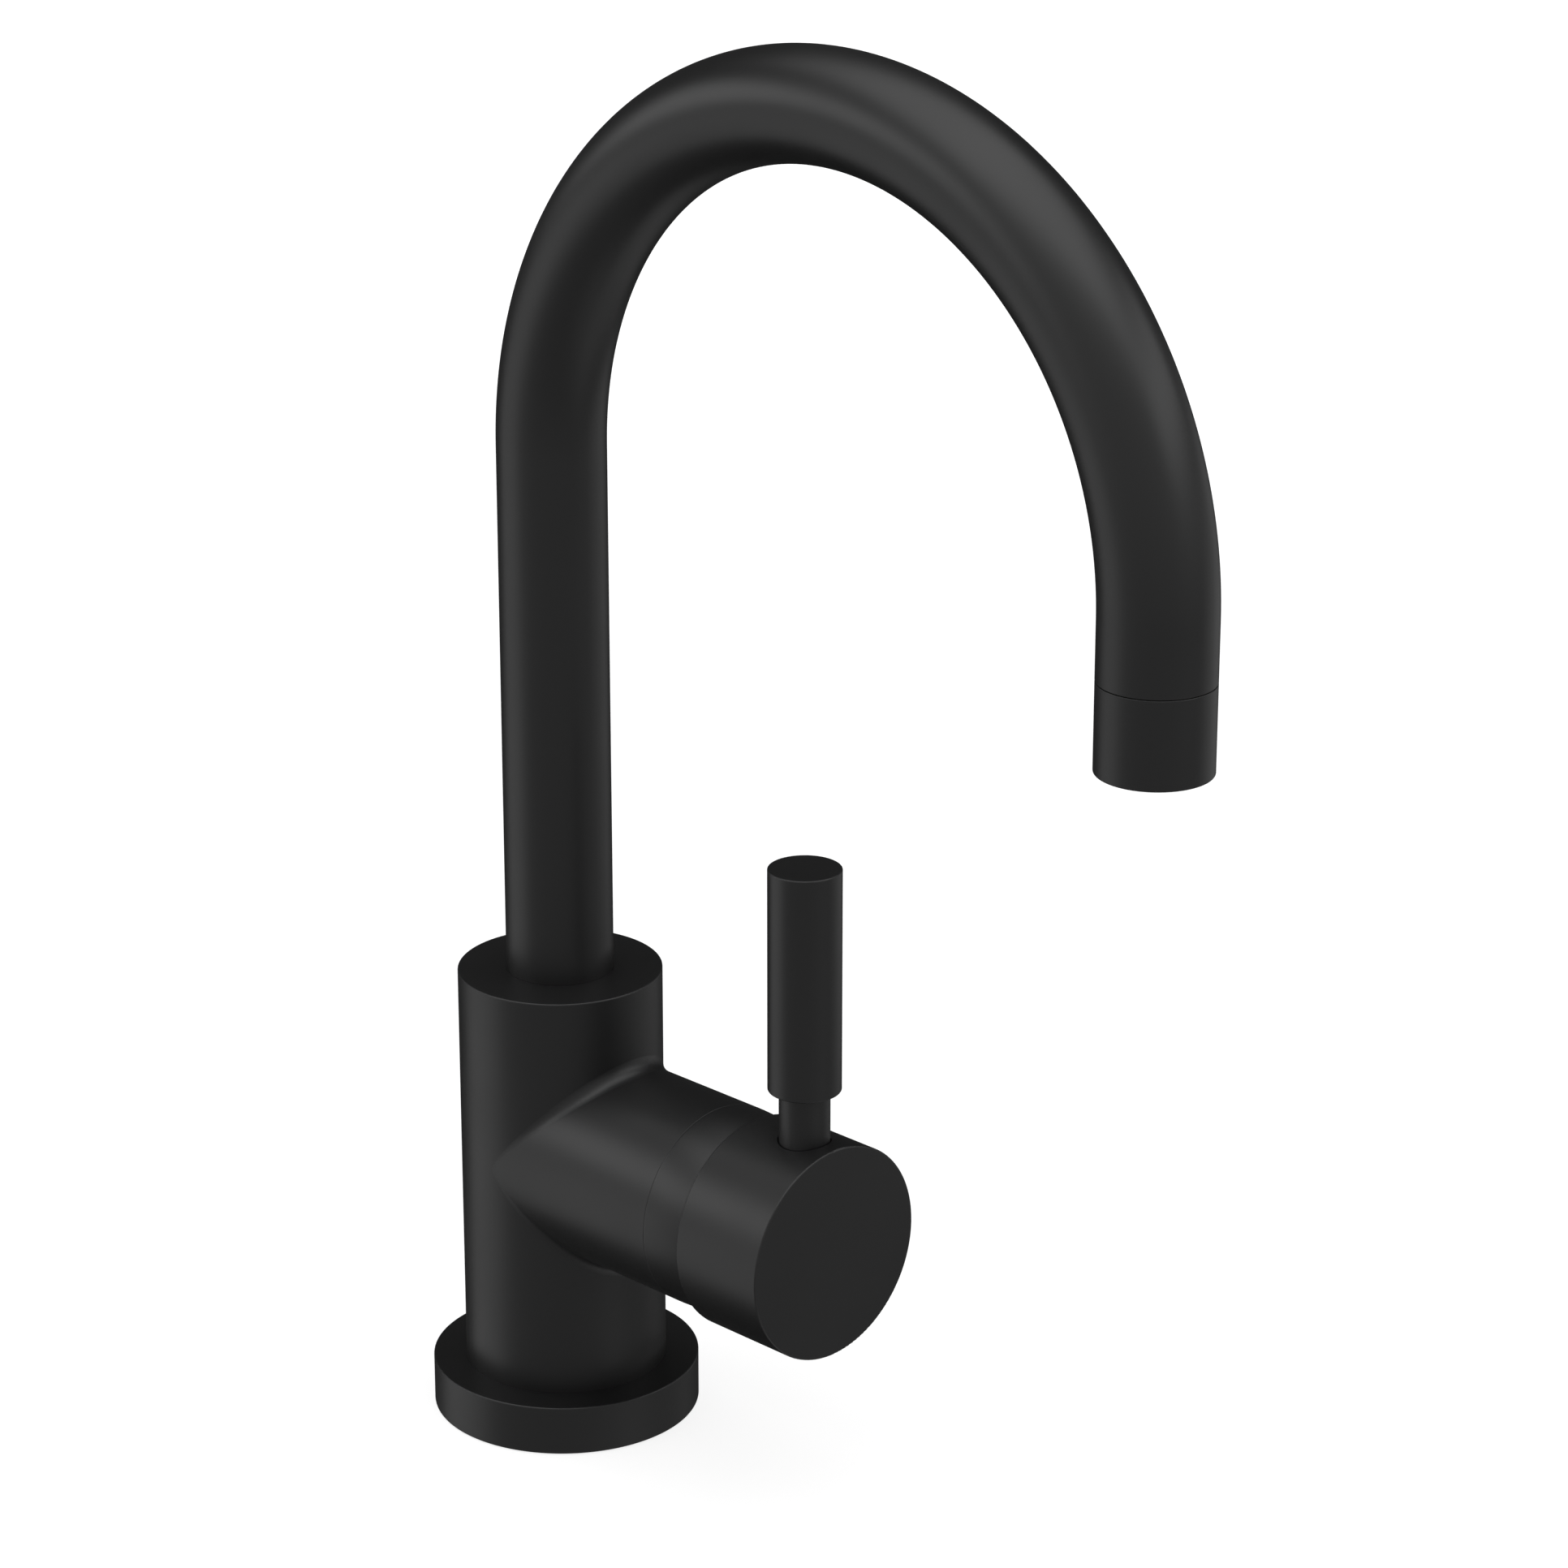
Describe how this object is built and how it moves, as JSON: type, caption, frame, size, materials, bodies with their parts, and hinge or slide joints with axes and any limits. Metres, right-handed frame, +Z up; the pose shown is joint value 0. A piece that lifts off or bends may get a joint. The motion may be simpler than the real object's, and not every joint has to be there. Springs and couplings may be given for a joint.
{
  "type": "bathroom sink faucet",
  "caption": "Matte black single-hole sink faucet: round flange and body, a swivelling bent-tube spout, and a front boss whose hub and upright lever set flow and temperature.",
  "frame": {"origin": "centre of the faucet's foot, on the deck", "axes": "+Z up from the deck, the spout and the handle towards -Y, +X to the left of a person who stands at the basin"},
  "size_m": [0.0558, 0.197, 0.2987],
  "materials": {
    "matte_black": "matte",
    "brass": "satin",
    "steel": "satin",
    "rubber": "matte",
    "white_plastic": "satin",
    "dark_plastic": "satin",
    "ceramic": "polished"
  },
  "bodies": {
    "body": {"base_flange": "matte_black", "deck_gasket": "rubber", "flange_o_ring": "rubber", "body_casting": "matte_black", "spout_glide_ring": "white_plastic", "spout_set_screw": "steel", "port_seals": "rubber", "cartridge_base": "white_plastic", "fixed_disc": "ceramic", "cartridge_housing": "white_plastic", "cartridge_nut": "brass", "dome_ring": "matte_black"},
    "spout": {"spout_tube": "matte_black", "spout_spigot": "brass", "spigot_o_rings": "rubber", "spigot_bearing_ring": "white_plastic", "outlet_insert": "brass", "outlet_sleeve": "matte_black", "aerator_body": "dark_plastic", "aerator_screen": "dark_plastic", "aerator_washer": "rubber"},
    "rotor": {"cartridge_rotor": "white_plastic", "rotor_seal": "rubber", "pivot_pin": "steel"},
    "lever": {"cartridge_stem": "steel", "handle_hub": "matte_black", "hub_grub_screw": "steel", "lever_rod": "matte_black", "lever_grip": "matte_black"},
    "disc": {"disc_carrier": "white_plastic", "moving_disc": "ceramic"}
  },
  "joints": [
    {"name": "spout_swivel", "type": "hinge", "parent": "body", "child": "spout", "pos_m": [0, 0, 0.08], "axis": [0, 0, 1], "range_deg": [-60, 60]},
    {"name": "handle_turn", "type": "hinge", "parent": "body", "child": "rotor", "pos_m": [0, -0.0499, 0.059], "axis": [0, -1, 0], "range_deg": [-45, 45]},
    {"name": "handle_lift", "type": "hinge", "parent": "rotor", "child": "lever", "pos_m": [0, -0.0499, 0.059], "axis": [1, 0, 0], "range_deg": [0, 20]},
    {"name": "disc_slide", "type": "slide", "parent": "rotor", "child": "disc", "axis": [0, 0, 1], "range_m": [0, 0.0038]}
  ],
  "couplings": [
    {"joint": "disc_slide", "follows": "handle_lift", "m_per_rad": 0.010778}
  ]
}
